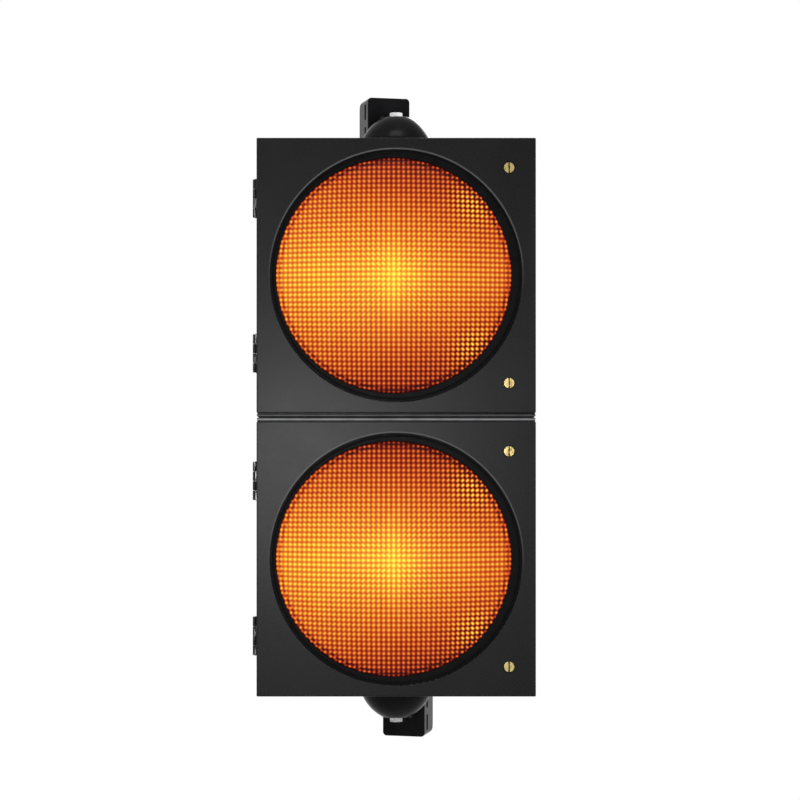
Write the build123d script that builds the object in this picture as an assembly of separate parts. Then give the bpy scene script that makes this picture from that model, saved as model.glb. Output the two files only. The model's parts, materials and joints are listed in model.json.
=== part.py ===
from build123d import *
import os
from math import cos, radians, sin, sqrt

# Two-section amber signal head with 300 mm lenses, hung between two swivelling pole brackets.
# Millimetres. The front faces -Y, +X is the viewer's right and +Z is up. The origin is on the
# hub axis, in the plane where the two sections meet. The lower half mirrors the upper one.

# ---- driving sizes --------------------------------------------------------------------------
# cases
WIDTH = 350.0
SECTION_HEIGHT = 350.0      # joint plane to the outer end
CASE_DEPTH = 110.0
WALL = 3.0
JOINT_GAP = 1.0             # between the two cases, filled by the section gasket
CASE_CORNER = 3.5
CASE_BACK_ROUND = 4.0
JOINT_LIP = 9.0             # how far the lip beside the joint stands in front of the case
JOINT_LIP_WIDTH = 3.9
JOINT_LIP_ROUND = 1.5
LIP_CORNER_SHARE = 0.45     # most that a corner may round off the lip
END_HOLE_CLEARANCE = 0.3    # the end holes round the nipple

# doors
DOOR_SETBACK = 5.5          # joint plane to the door's edge
DOOR_DEPTH = 14.0
DOOR_GAP = 0.5              # between door and case
DOOR_CORNER = 1.5
DOOR_EDGE_ROUND = 1.2
OPENING_ROUND = 1.3

# weather seal
SEAL_WIDTH = 7.0
SEAL_CLEARANCE = 0.2        # seal to the door's rim
SEAL_REST = 0.1             # seal to the case's flange
FLANGE_MARGIN = 1.3         # flange beyond the seal

# hinges
HINGE_SPACING = 195.0
HINGE_LENGTH = 47.6
BARREL_R = 2.8
PIN_R = 1.25
PIN_CLEARANCE = 0.05
KNUCKLES = 4
KNUCKLE_GAP = 0.5
LEAF = 1.2
CASE_LEAF_WIDTH = 20.0
LEAF_SCREW_R = 1.5
LEAF_SCREW_SPACING = 30.0
LEAF_SLOT = (0.7, 0.6)      # width, depth of the leaf screws' slots
CASE_SCREW_SHARE = 0.6      # where the case leaf's screws are along its width
PIN_HEAD_R = 1.95
PIN_HEAD = 0.8
PIN_HEAD_GAP = 0.1
HINGE_PAD = 3.0             # thickening inside the case behind the leaf

# lens and lamp unit
LENS_VISIBLE_R = 147.4
LENS_X = -3.1               # the lens sits this far off the opening's middle
LENS_RIM = 5.5              # rim of the lens behind the gasket's lip
LENS_WALL = 3.0
LENS_RISE = 28.0
LENS_FLANGE = 3.0
LENS_EDGE_CLEARANCE = 0.3   # dome to the gasket's lip
LENS_SEAT_CLEARANCE = 0.2   # rim of the lens to the gasket
LIP_SETBACK = 1.0           # gasket lip behind the door's face
LIP_WIDTH = 7.9             # mean width of the lip that shows round the lens
LIP_CLEARANCE = 2.5         # lip to the door's opening
LIP_THICK = 2.9
LIP_ROUND = 0.4             # share of the lip's thickness
LIP_BEAD_R = 1.3            # round bead along the lip's outer edge
LIP_BEAD_PROUD = 0.6
GASKET_OVERLAP = 3.55       # gasket beyond the opening, behind the door
CAN_SETBACK = 3.0           # can's front edge to its flange
CAN_FLANGE = 3.0
CAN_FLANGE_WIDTH = 11.3
CAN_WALL = 2.5
CAN_STRAIGHT = 18.4         # straight part behind the flange
CAN_TAPER = 32.0            # how much narrower the can is at its back
CAN_DEPTH = 51.4            # back of the flange to the back plate's rear face
INNER_LENS = 3.0
INNER_LENS_SETBACK = 12.0   # can's front edge to the shelf, less the flange
SHELF = 6.0
LED_PAD_R = 60.0
LED_PAD = 3.0
LED_BOARD_R = 57.0
LED_BOARD = 1.6
LED_R = 2.5
LED_HEIGHT = 5.6
LED_PITCH = 12.0
LED_RINGS = 3
BOARD_SCREW_INSET = 5.0     # board screws to the board's edge
SMALL_SCREW_R = 1.5
SMALL_HOLE_R = 1.7          # clearance holes of the small screws
SMALL_HEAD_R = 3.4          # counterbores for their heads
BOARD_SCREW = 5.0
COVER_SCREW = 7.0
COVER_BOSS = (4.0, 5.0)     # radius, height inside the can
COVER_SCREW_DEPTH = 3.0
SMALL_CLEARANCE = 0.05

# driver housing behind the lamp unit
COVER_R = 70.0
COVER_DEPTH = 22.0
COVER_WALL = 2.5
COVER_TAPER = 4.0
COVER_FLANGE_R = 78.0
DRIVER_BOARD_X = 92.0
DRIVER_BOARD_Z = 60.0
DRIVER_STANDOFF = 4.0
DRIVER_STANDOFF_R = 3.0
DRIVER_STANDOFF_INSET = 5.0
DRIVER_BOARD = 1.6
TRANSFORMER_X = (-34.0, -12.0)
TRANSFORMER_Z = (-12.0, 12.0)
TRANSFORMER_HEIGHT = 11.0
CAPACITOR_R = 5.0
CAPACITOR_HEIGHT = 10.0
CAPACITOR_X = 30.0
CAPACITOR_PITCH = 14.0
REGULATOR_X = (6.0, 16.0)
REGULATOR_Z = (-21.0, -13.0)
REGULATOR_HEIGHT = 4.0
LEAD_GLAND_R = 6.0
LEAD_GLAND_THREAD = 4.0
LEAD_GLAND_COLLAR = 4.0
LEAD_GLAND_NOSE = 7.0
LEAD_GLAND_STEPS = (3.0, 1.5)    # collar and nose beyond the thread's radius
LEAD_GLAND_ROUND = 1.5
LEAD_R = 2.6

# clips that hold the lamp unit to the door
CLIP_ANGLE = 52.0
CLIP_BOSS_R = 5.0
CLIP_BOSS_GAP = 5.7         # boss to the gasket's edge
CLIP_OVERHANG = 4.0         # clip past its boss
CLIP_LENGTH = 24.0
CLIP_WIDTH = 14.0
CLIP_THICK = 1.5
CLIP_SCREW_R = 2.0
CLIP_HOLE_CLEARANCE = 0.2
CLIP_SCREW = 8.0

# quarter-turn door latches
LATCH_INSET = 33.5          # latch axis to the door's free edge
LATCH_SPACING = 270.0
LATCH_HEAD_R = 6.7
LATCH_HEAD = 3.0
LATCH_RECESS_GAP = 1.55     # head to the recess round it
LATCH_RECESS = 3.5
LATCH_FLOOR = 3.0
LATCH_CUP_WALL = 2.25
LATCH_SHANK_R = 4.0
LATCH_SLOT_WIDTH = 1.7
LATCH_SLOT_DEPTH = 1.5
LATCH_BAR = (4.0, 3.5, 18.0)    # X, Y, Z of the cross bar
LATCH_HEAD_ROUND = 0.6
LATCH_CLIP = 1.0                # thickness of the clip that keeps the latch in the door
LATCH_CLIP_GAP = 0.1            # clip behind the cup
LATCH_CLIP_PLAY = 0.05          # clip in its groove
LATCH_CLIP_WIDTH = 2.4          # clip outside the shank
LATCH_CLIP_MOUTH = 6.0
LATCH_GROOVE = 0.8              # depth of the groove
LATCH_BAR_GAP = 1.0             # bar behind the keeper
KEEPER = 4.0
KEEPER_REACH = 14.5             # keeper inboard of the latch axis
KEEPER_HALF = 13.0
KEEPER_CLEARANCE = 0.75

# coupling between the sections
NIPPLE_R = 24.0
NIPPLE_WALL = 3.5
NIPPLE_PAST_NUT = 2.0
RING_NUT_WALL = 7.0
RING_NUT = 8.0
RING_NUT_NOTCHES = 8
RING_NUT_NOTCH = (2.5, 5.0)     # depth, width
JOINT_SHEET_INSET = 2.0     # gasket sheet inside the cases' side faces and front lips
GASKET_SETBACK = 2.0        # the ring gaskets' bores beyond the end holes

# pole brackets
BRACKET_SWING = 14.0        # degrees from straight back at rest
HUB_GASKET = 2.0
HUB_GASKET_INSET = 0.3      # gasket inside the hub's edge
HUB_R = 44.5
HUB_SHOULDER_R = 34.6
HUB_TOP_R = 18.2
HUB_HEIGHT = 32.3
HUB_SHOULDER = 19.3
HUB_SKIRT = 3.0
HUB_WALL = 8.0
HUB_HOLLOW = 15.4           # height of the hollow
HUB_BOSS_R = 11.0
BOLT_R = 5.0
BOLT_CLEARANCE = 0.08
BOLT_HEAD_AF = 16.0
BOLT_HEAD = 5.0
BOLT_HEAD_TURN = 30.0       # turns a corner of the head to the front
BOLT_HEAD_CHAMFER = 0.2     # chamfered face inside the flats
HUB_NUT = 8.0
BOLT_PAST_NUT = 3.0
WASHER_WIDTH = 5.0
WASHER = 1.6
SPREADER_OVERLAP = 9.7      # spreader beyond the end hole
SPREADER = 4.0
WEB_SETBACK = 39.0          # hub axis to the saddle's front face
SADDLE_WIDTH = 56.0
SADDLE_DEPTH = 49.0
SADDLE_HEIGHT = 64.2
SADDLE_WALL = 5.0
SADDLE_CORNER = 5.0
SADDLE_BACK_ROUND = 12.0
SADDLE_EDGE_ROUND = 2.0
SADDLE_RIB = 6.0
ARM_R = 18.0
ARM_ABOVE_HUB = 11.0
SPOT_FACE_R = 15.0
POLE_R = 30.15
BAND_SLOT = (8.0, 20.0)     # depth along the flange, height
BAND_SLOT_SETBACK = 16.0    # saddle's front face to the slot's middle

# supply terminals, earth stud and cable gland in the lower case
TERMINAL_SIZE = (96.0, 20.0, 18.0)
TERMINAL_INSET = 45.0       # terminals' middle to the lower end
TERMINAL_WAYS = 6
TERMINAL_BOSS = 3.0
TERMINAL_BOSS_R = 5.0
TERMINAL_FOOT = 6.0
TERMINAL_LUG = 10.0         # foot beyond the body at each end
TERMINAL_ENTRY_R = 2.0
TERMINAL_CLAMP_R = 3.0
TERMINAL_SCREW_R = 1.6
TERMINAL_HOLE_CLEARANCE = 0.2
TERMINAL_CLAMP_DEPTH = 6.0
TERMINAL_CLAMP = 2.4            # height of a clamping screw
TERMINAL_CLAMP_SLOT = (0.8, 1.0)    # width, depth
TERMINAL_ENTRY_DEPTH = 9.0      # block's front to the middle of the wire entries
BLIND_DEPTH = 1.0           # how far blind holes reach into the back wall
EARTH_BOSS = 6.0
EARTH_BOSS_R = 7.0
EARTH_SCREW_R = 2.5
EARTH_X = 95.0
GLAND_INSET_X = 65.0        # gland axis to the side face
GLAND_INSET_Z = 65.0        # gland axis to the lower end
GLAND_THREAD_R = 10.0
GLAND_THREAD = 12.0
GLAND_BORE_R = 7.0
GLAND_HEX_AF = 26.0
GLAND_FLANGE = 6.0
GLAND_SPIGOT = 8.0
GLAND_SPIGOT_STEP = 0.5         # spigot beyond the thread's radius
GLAND_NUT_GAP = 0.3
GLAND_NUT_R = 11.8
GLAND_NUT_HEX = 6.7
GLAND_NUT_COLLAR = 6.0
GLAND_NUT_ROUND = 3.0
GLAND_LOCKNUT = 5.0
CABLE_R = 4.75
CABLE_SEAL = 12.0
CABLE_SEAL_PROUD = 1.0          # seal beyond the spigot
GLAND_NUT_MOUTH = 1.5           # nut's mouth beyond the cable's radius

# ---- derived places -------------------------------------------------------------------------
CASE_FRONT = -CASE_DEPTH / 2
CASE_BACK = CASE_DEPTH / 2
DOOR_BACK = CASE_FRONT - DOOR_GAP
DOOR_FACE = DOOR_BACK - DOOR_DEPTH
PLATE_BACK = DOOR_FACE + WALL
DOOR_HEIGHT = SECTION_HEIGHT - DOOR_SETBACK
DOOR_Z = DOOR_SETBACK + DOOR_HEIGHT / 2
FLANGE_INSET = WALL + SEAL_CLEARANCE + SEAL_WIDTH + FLANGE_MARGIN
END_INNER = SECTION_HEIGHT - WALL
JOINT_INNER = JOINT_GAP / 2 + WALL
END_HOLE_R = NIPPLE_R + END_HOLE_CLEARANCE
HINGE_X = -WIDTH / 2 - BARREL_R
HINGE_Y = (CASE_FRONT + DOOR_BACK) / 2
HINGE_ZS = (DOOR_Z - HINGE_SPACING / 2, DOOR_Z + HINGE_SPACING / 2)
LATCH_X = WIDTH / 2 - LATCH_INSET
LATCH_ZS = (DOOR_Z - LATCH_SPACING / 2, DOOR_Z + LATCH_SPACING / 2)
LATCH_RECESS_R = LATCH_HEAD_R + LATCH_RECESS_GAP
LATCH_CUP_R = LATCH_RECESS_R + LATCH_CUP_WALL
LENS_R = LENS_VISIBLE_R + LENS_RIM
LIP_R = LENS_VISIBLE_R + LIP_WIDTH
OPENING_R = LIP_R + LIP_CLEARANCE
GASKET_R = OPENING_R + GASKET_OVERLAP
CAN_R = GASKET_R - CAN_FLANGE_WIDTH
CAN_BACK_R = CAN_R - CAN_TAPER
CLIP_BOSS_AT = GASKET_R + CLIP_BOSS_GAP + CLIP_BOSS_R
LIP_FRONT = DOOR_FACE + LIP_SETBACK
LENS_FRONT = LIP_FRONT + LIP_THICK + SMALL_CLEARANCE
LENS_BACK = LENS_FRONT + LENS_FLANGE
CAN_FRONT = LENS_BACK + SMALL_CLEARANCE
FLANGE_FRONT = CAN_FRONT + CAN_SETBACK
FLANGE_BACK = FLANGE_FRONT + CAN_FLANGE
CAN_BACK = FLANGE_BACK + CAN_DEPTH
SHELF_FRONT = FLANGE_BACK + INNER_LENS_SETBACK
BACK_PLATE = CAN_BACK - WALL
LED_PAD_FRONT = BACK_PLATE - LED_PAD
LED_BOARD_FRONT = LED_PAD_FRONT - LED_BOARD
RECESS_FLOOR = DOOR_FACE + LATCH_RECESS
CUP_BACK = RECESS_FLOOR + LATCH_FLOOR
KEEPER_BACK = CASE_FRONT + KEEPER
BAR_FRONT = KEEPER_BACK + LATCH_BAR_GAP
HUB_BASE = SECTION_HEIGHT + HUB_GASKET
HUB_TOP = HUB_BASE + HUB_HEIGHT
WASHER_R = BOLT_R + WASHER_WIDTH
INNER_WASHER = END_INNER - SPREADER - WASHER
TERMINAL_Z = TERMINAL_INSET - SECTION_HEIGHT
GLAND_X = GLAND_INSET_X - WIDTH / 2
GLAND_Z = GLAND_INSET_Z - SECTION_HEIGHT
GLAND_SPIGOT_R = GLAND_THREAD_R + GLAND_SPIGOT_STEP
SEAT_DEPTH = POLE_R - sqrt(POLE_R**2 - (SADDLE_WIDTH / 2) ** 2)
POLE_Y = WEB_SETBACK + SADDLE_DEPTH - SEAT_DEPTH + POLE_R


# ---- helpers --------------------------------------------------------------------------------
def block(x, y, z):
    """A box from three (low, high) pairs."""
    size = [high - low for low, high in (x, y, z)]
    middle = [(low + high) / 2 for low, high in (x, y, z)]
    return Pos(*middle) * Box(*size)


def disc_y(radius, y0, y1, x=0.0, z=0.0):
    """A cylinder along Y."""
    return Pos(x, (y0 + y1) / 2, z) * Rot(90, 0, 0) * Cylinder(radius, y1 - y0)


def disc_z(radius, z0, z1, x=0.0, y=0.0):
    """A cylinder along Z."""
    return Pos(x, y, (z0 + z1) / 2) * Cylinder(radius, z1 - z0)


def disc_x(radius, x0, x1, y=0.0, z=0.0):
    """A cylinder along X."""
    return Pos((x0 + x1) / 2, y, z) * Rot(0, 90, 0) * Cylinder(radius, x1 - x0)


def ring_y(outer, inner, y0, y1, x=0.0, z=0.0):
    """A tube along Y."""
    return disc_y(outer, y0, y1, x, z) - disc_y(inner, y0 - 1, y1 + 1, x, z)


def ring_z(outer, inner, z0, z1, x=0.0, y=0.0):
    """A tube along Z."""
    return disc_z(outer, z0, z1, x, y) - disc_z(inner, z0 - 1, z1 + 1, x, y)


def turned_lamp(points):
    """A solid turned about the lens axis, from (radius, y) corners."""
    outline = make_face(Polyline(*points, close=True))
    return Pos(LENS_X, 0, DOOR_Z) * revolve(outline, Axis.Y)


def hexagon(across_flats, z0, z1):
    """A hexagonal prism along Z."""
    outline = RegularPolygon(across_flats / sqrt(3), 6)
    return Pos(0, 0, z0) * extrude(outline, z1 - z0)


def mirrored(shapes):
    """The lower section's copy of each solid."""
    return [mirror(shape, about=Plane.XY) for shape in shapes]


def both_ends(shapes):
    """Each solid with its mirror image in the other section."""
    return list(shapes) + mirrored(shapes)


def save(name, shapes):
    """Writes one sub-part, a solid or a group of separate solids."""
    group = shapes if isinstance(shapes, list) else [shapes]
    solids = [solid for shape in group for solid in shape.solids()]
    whole = solids[0] if len(solids) == 1 else Compound(children=solids)
    whole.label = name
    export_step(whole, f"parts/{name}.step")


# ---- case -----------------------------------------------------------------------------------
def leaf_pocket(z, y0, y1):
    """The pocket that lets a hinge leaf into an outer side face."""
    half = HINGE_LENGTH / 2 + SEAL_CLEARANCE
    return block((-WIDTH / 2 - 1, -WIDTH / 2 + LEAF), (y0, y1), (z - half, z + half))


def leaf_screw_places(z):
    return [z - LEAF_SCREW_SPACING / 2, z + LEAF_SCREW_SPACING / 2]


def keeper(z):
    """The lug behind each door latch, before its keyhole is cut."""
    x0 = LATCH_X - KEEPER_REACH
    x1 = WIDTH / 2 - WALL / 2
    return block((x0, x1), (CASE_FRONT, KEEPER_BACK), (z - KEEPER_HALF, z + KEEPER_HALF))


def keyhole(z):
    """The round hole and upright slot that the latch passes through."""
    bar_x, _, bar_z = LATCH_BAR
    half_x = bar_x / 2 + KEEPER_CLEARANCE
    half_z = bar_z / 2 + KEEPER_CLEARANCE
    span = (CASE_FRONT - 1, KEEPER_BACK + 1)
    slot = block((LATCH_X - half_x, LATCH_X + half_x), span, (z - half_z, z + half_z))
    return slot + disc_y(LATCH_SHANK_R + KEEPER_CLEARANCE, *span, LATCH_X, z)


def upper_case():
    low = JOINT_GAP / 2
    half = WIDTH / 2
    shell = block((-half, half), (CASE_FRONT, CASE_BACK), (low, SECTION_HEIGHT))
    lip_z = (low, low + JOINT_LIP_WIDTH)
    shell += block((-half, half), (CASE_FRONT - JOINT_LIP, CASE_FRONT + 1), lip_z)
    shell = fillet(shell.edges().filter_by(Axis.Y), min(CASE_CORNER, JOINT_LIP_WIDTH * LIP_CORNER_SHARE))
    lip_edges = shell.faces().sort_by(Axis.Y)[0].edges()
    shell = fillet(lip_edges, JOINT_LIP_ROUND)
    shell = fillet(shell.faces().sort_by(Axis.Y)[-1].edges(), CASE_BACK_ROUND)
    inner_x = half - WALL
    cavity_y = (CASE_FRONT + WALL, CASE_BACK - WALL)
    shell -= block((-inner_x, inner_x), cavity_y, (JOINT_INNER, END_INNER))
    open_x = half - FLANGE_INSET
    open_z = DOOR_HEIGHT / 2 - FLANGE_INSET
    shell -= block((-open_x, open_x), (CASE_FRONT - 1, CASE_FRONT + WALL + 1),
                   (DOOR_Z - open_z, DOOR_Z + open_z))
    shell -= disc_z(END_HOLE_R, low - 1, JOINT_INNER + 1)
    shell -= disc_z(END_HOLE_R, END_INNER - 1, SECTION_HEIGHT + 1)
    for z in LATCH_ZS:
        shell += keeper(z)
        shell -= keyhole(z)
    pad_y = (CASE_FRONT + WALL - 1, CASE_FRONT + CASE_LEAF_WIDTH + WALL)
    for z in HINGE_ZS:
        pad_z = (z - HINGE_LENGTH / 2, z + HINGE_LENGTH / 2)
        shell += block((-inner_x - 1, -inner_x + HINGE_PAD), pad_y, pad_z)
        shell -= leaf_pocket(z, CASE_FRONT - 1, CASE_FRONT + CASE_LEAF_WIDTH)
        for screw_z in leaf_screw_places(z):
            shell -= disc_x(LEAF_SCREW_R, -half - 1, -inner_x + HINGE_PAD + 1,
                            case_screw_y(), screw_z)
    return shell


def case_screw_y():
    return CASE_FRONT + CASE_LEAF_WIDTH * CASE_SCREW_SHARE


def lower_case():
    shell = mirror(upper_case(), about=Plane.XY)
    back = CASE_BACK - WALL
    shell -= disc_y(GLAND_THREAD_R + SMALL_CLEARANCE, back - 1, CASE_BACK + 1, GLAND_X, GLAND_Z)
    for x in terminal_screw_xs():
        shell += disc_y(TERMINAL_BOSS_R, back - TERMINAL_BOSS, back + 1, x, TERMINAL_Z)
        shell -= disc_y(TERMINAL_SCREW_R, back - TERMINAL_BOSS - 1, back + BLIND_DEPTH,
                        x, TERMINAL_Z)
    shell += disc_y(EARTH_BOSS_R, back - EARTH_BOSS, back + 1, EARTH_X, TERMINAL_Z)
    shell -= disc_y(EARTH_SCREW_R, back - EARTH_BOSS - 1, back + BLIND_DEPTH,
                    EARTH_X, TERMINAL_Z)
    return shell


# ---- door and what is fixed to it -----------------------------------------------------------
def about_opening(angle, radius, middle_x=0.0):
    """X and Z of a place at this angle and distance from the middle of the door's opening."""
    return middle_x + radius * cos(radians(angle)), DOOR_Z + radius * sin(radians(angle))


def about_lens(angle, radius):
    """X and Z of a place at this angle and distance from the lens axis."""
    return about_opening(angle, radius, LENS_X)


def clip_angles():
    """Angles of the lamp clips about the middle of the door's opening."""
    return [CLIP_ANGLE, 180 - CLIP_ANGLE, 180 + CLIP_ANGLE, 360 - CLIP_ANGLE]


def door():
    half = WIDTH / 2
    z_span = (DOOR_Z - DOOR_HEIGHT / 2, DOOR_Z + DOOR_HEIGHT / 2)
    pan = block((-half, half), (DOOR_FACE, DOOR_BACK), z_span)
    pan = fillet(pan.edges().filter_by(Axis.Y), DOOR_CORNER)
    pan = fillet(pan.faces().sort_by(Axis.Y)[0].edges(), DOOR_EDGE_ROUND)
    inner_x = half - WALL
    pan -= block((-inner_x, inner_x), (PLATE_BACK, DOOR_BACK + 1),
                 (z_span[0] + WALL, z_span[1] - WALL))
    pan -= disc_y(OPENING_R, DOOR_FACE - 1, PLATE_BACK + 1, 0, DOOR_Z)
    mouth = pan.edges().filter_by(GeomType.CIRCLE)
    mouth = mouth.filter_by(lambda edge: abs(edge.radius - OPENING_R) < 0.01).sort_by(Axis.Y)
    pan = fillet(mouth[0], OPENING_ROUND)
    for z in LATCH_ZS:
        pan += disc_y(LATCH_CUP_R, PLATE_BACK - 1, CUP_BACK, LATCH_X, z)
        pan -= disc_y(LATCH_RECESS_R, DOOR_FACE - 1, RECESS_FLOOR, LATCH_X, z)
        pan -= disc_y(LATCH_SHANK_R + SMALL_CLEARANCE, DOOR_FACE, CUP_BACK + 1, LATCH_X, z)
    for angle in clip_angles():
        x, z = about_opening(angle, CLIP_BOSS_AT)
        pan += disc_y(CLIP_BOSS_R, PLATE_BACK - 1, FLANGE_BACK, x, z)
        pan -= disc_y(CLIP_SCREW_R, PLATE_BACK + 1, FLANGE_BACK + 1, x, z)
    for z in HINGE_ZS:
        pan -= leaf_pocket(z, DOOR_FACE + WALL, DOOR_BACK + 1)
        for screw_z in leaf_screw_places(z):
            pan -= disc_x(LEAF_SCREW_R, -half - 1, -inner_x + 1, door_screw_y(), screw_z)
    return pan


def door_screw_y():
    return (PLATE_BACK + DOOR_BACK) / 2


def door_seal():
    outer_x = WIDTH / 2 - WALL - SEAL_CLEARANCE
    outer_z = DOOR_HEIGHT / 2 - WALL - SEAL_CLEARANCE
    y_span = (PLATE_BACK, CASE_FRONT - SEAL_REST)
    ring = block((-outer_x, outer_x), y_span, (DOOR_Z - outer_z, DOOR_Z + outer_z))
    inner_x = outer_x - SEAL_WIDTH
    inner_z = outer_z - SEAL_WIDTH
    return ring - block((-inner_x, inner_x), (y_span[0] - 1, y_span[1] + 1),
                        (DOOR_Z - inner_z, DOOR_Z + inner_z))


def lens():
    radius = (LENS_VISIBLE_R**2 + LENS_RISE**2) / (2 * LENS_RISE)
    centre_y = LENS_FRONT - LENS_RISE + radius
    inner_r = radius - LENS_WALL
    edge_r = LENS_VISIBLE_R - LENS_EDGE_CLEARANCE
    inner_edge_r = edge_r - LENS_WALL

    def dome(ball, r):
        """A point on a ball about the dome's centre, r from the lens axis."""
        return r, centre_y - sqrt(ball**2 - r**2)

    outer_arc = ThreePointArc(dome(radius, 0), dome(radius, edge_r / 2), dome(radius, edge_r))
    inner_arc = ThreePointArc(dome(inner_r, 0), dome(inner_r, inner_edge_r / 2),
                              dome(inner_r, inner_edge_r))
    rim = Polyline(dome(radius, edge_r), (edge_r, LENS_FRONT), (LENS_R, LENS_FRONT),
                   (LENS_R, LENS_BACK), (inner_edge_r, LENS_BACK), dome(inner_r, inner_edge_r))
    axis_line = Line(dome(inner_r, 0), dome(radius, 0))
    outline = make_face([outer_arc, rim, inner_arc, axis_line])
    return Pos(LENS_X, 0, DOOR_Z) * revolve(outline, Axis.Y)


def lens_gasket():
    """A rubber ring whose rounded lip covers the lens's rim inside the door's opening."""
    ring = disc_y(LIP_R, LIP_FRONT, PLATE_BACK + 1, 0, DOOR_Z)
    ring += disc_y(GASKET_R, PLATE_BACK, FLANGE_FRONT, 0, DOOR_Z)
    lip_back = LIP_FRONT + LIP_THICK
    seat_r = LENS_R + LENS_SEAT_CLEARANCE
    ring -= disc_y(LENS_VISIBLE_R, LIP_FRONT - 1, lip_back + 1, LENS_X, DOOR_Z)
    ring -= disc_y(seat_r, lip_back, FLANGE_FRONT + 1, LENS_X, DOOR_Z)
    front = ring.faces().sort_by(Axis.Y)[0]
    ring = fillet(front.edges(), LIP_THICK * LIP_ROUND)
    bead = Rot(90, 0, 0) * Torus(LIP_R - LIP_BEAD_R, LIP_BEAD_R)
    return ring + Pos(0, LIP_FRONT + LIP_BEAD_R - LIP_BEAD_PROUD, DOOR_Z) * bead


def inner_lens():
    radius = can_inner_r() - LENS_EDGE_CLEARANCE
    return disc_y(radius, SHELF_FRONT - INNER_LENS, SHELF_FRONT, LENS_X, DOOR_Z)


def can_inner_r():
    return CAN_R - CAN_WALL


def lamp_can():
    tube_r = LENS_R - SMALL_CLEARANCE
    inner = can_inner_r()
    bend = FLANGE_BACK + CAN_STRAIGHT
    shelf_back = SHELF_FRONT + CAN_WALL
    can = turned_lamp([(tube_r, CAN_FRONT), (tube_r, FLANGE_BACK), (CAN_R, FLANGE_BACK),
                       (CAN_R, bend), (CAN_BACK_R, CAN_BACK), (0, CAN_BACK), (0, LED_PAD_FRONT),
                       (LED_PAD_R, LED_PAD_FRONT), (LED_PAD_R, BACK_PLATE),
                       (CAN_BACK_R - CAN_WALL, BACK_PLATE), (inner, bend), (inner, shelf_back),
                       (inner - SHELF, shelf_back), (inner - SHELF, SHELF_FRONT),
                       (inner, SHELF_FRONT), (inner, CAN_FRONT)])
    flange = disc_y(GASKET_R, FLANGE_FRONT, FLANGE_BACK, 0, DOOR_Z)
    can += flange - disc_y(CAN_R, FLANGE_FRONT - 1, FLANGE_BACK + 1, LENS_X, DOOR_Z)
    boss_r, boss = COVER_BOSS
    for x, z in board_screw_places():
        can -= disc_y(SMALL_SCREW_R, LED_PAD_FRONT - 1, CAN_BACK - 1, x, z)
    for x, z in cover_screw_places():
        can += disc_y(boss_r, BACK_PLATE - boss, BACK_PLATE + 1, x, z)
        can -= disc_y(SMALL_SCREW_R, BACK_PLATE - COVER_SCREW_DEPTH, CAN_BACK + 1, x, z)
    for x, z in standoff_places():
        can += disc_y(DRIVER_STANDOFF_R, CAN_BACK - 1, CAN_BACK + DRIVER_STANDOFF, x, z)
    return can


def board_screw_places():
    return [about_lens(angle, LED_BOARD_R - BOARD_SCREW_INSET) for angle in (45, 135, 225, 315)]


def cover_screw_places():
    middle = (COVER_R + COVER_FLANGE_R) / 2
    return [about_lens(angle, middle) for angle in (45, 135, 225, 315)]


def standoff_places():
    x = DRIVER_BOARD_X / 2 - DRIVER_STANDOFF_INSET
    z = DRIVER_BOARD_Z / 2 - DRIVER_STANDOFF_INSET
    return [(LENS_X + sx * x, DOOR_Z + sz * z) for sx in (-1, 1) for sz in (-1, 1)]


def led_board():
    board = disc_y(LED_BOARD_R, LED_BOARD_FRONT, LED_PAD_FRONT, LENS_X, DOOR_Z)
    for x, z in board_screw_places():
        board -= disc_y(SMALL_HOLE_R, LED_BOARD_FRONT - 1, LED_PAD_FRONT + 1, x, z)
    return board


def leds():
    """Round light sources in rings about the lens axis."""
    front = LED_BOARD_FRONT - LED_HEIGHT + LED_R
    body = disc_y(LED_R, front, LED_BOARD_FRONT) + Pos(0, front, 0) * Sphere(LED_R)
    places = [(LENS_X, DOOR_Z)]
    for ring in range(1, LED_RINGS + 1):
        count = 6 * ring
        places += [about_lens(360 * i / count, ring * LED_PITCH) for i in range(count)]
    return [Pos(x, 0, z) * body for x, z in places]


def pan_head_screw(x, z, seat_y, length, radius=SMALL_SCREW_R):
    """A cross-recessed screw driven along +Y or -Y, towards the sign of its length."""
    way = 1 if length > 0 else -1
    ends = sorted((seat_y, seat_y + length))
    head_ends = sorted((seat_y, seat_y - way * radius * 1.2))
    head_face = seat_y - way * radius * 1.2
    cut_ends = sorted((head_face - way, head_face + way * radius * 0.6))
    screw = disc_y(radius - SMALL_CLEARANCE, *ends, x, z) + disc_y(radius * 1.9, *head_ends, x, z)
    arm = radius * 1.1
    thin = radius * 0.25
    screw -= block((x - arm, x + arm), cut_ends, (z - thin, z + thin))
    screw -= block((x - thin, x + thin), cut_ends, (z - arm, z + arm))
    return screw


def lamp_screws():
    board = [pan_head_screw(x, z, LED_BOARD_FRONT, BOARD_SCREW) for x, z in board_screw_places()]
    cover_back = CAN_BACK + COVER_WALL
    cover = [pan_head_screw(x, z, cover_back, -COVER_SCREW) for x, z in cover_screw_places()]
    return board + cover


def driver_cover():
    back = CAN_BACK + COVER_DEPTH
    top_r = COVER_R - COVER_TAPER
    cover = turned_lamp([(COVER_FLANGE_R, CAN_BACK), (COVER_FLANGE_R, CAN_BACK + COVER_WALL),
                         (COVER_R, CAN_BACK + COVER_WALL), (top_r, back), (0, back),
                         (0, back - COVER_WALL), (top_r - COVER_WALL, back - COVER_WALL),
                         (COVER_R - COVER_WALL, CAN_BACK)])
    for x, z in cover_screw_places():
        cover -= disc_y(SMALL_HOLE_R, CAN_BACK - 1, back + 1, x, z)
        cover -= disc_y(SMALL_HEAD_R, CAN_BACK + COVER_WALL, back + 1, x, z)
    return cover - disc_y(LEAD_GLAND_R, back - COVER_WALL - 1, back + 1, LENS_X, DOOR_Z)


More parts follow.
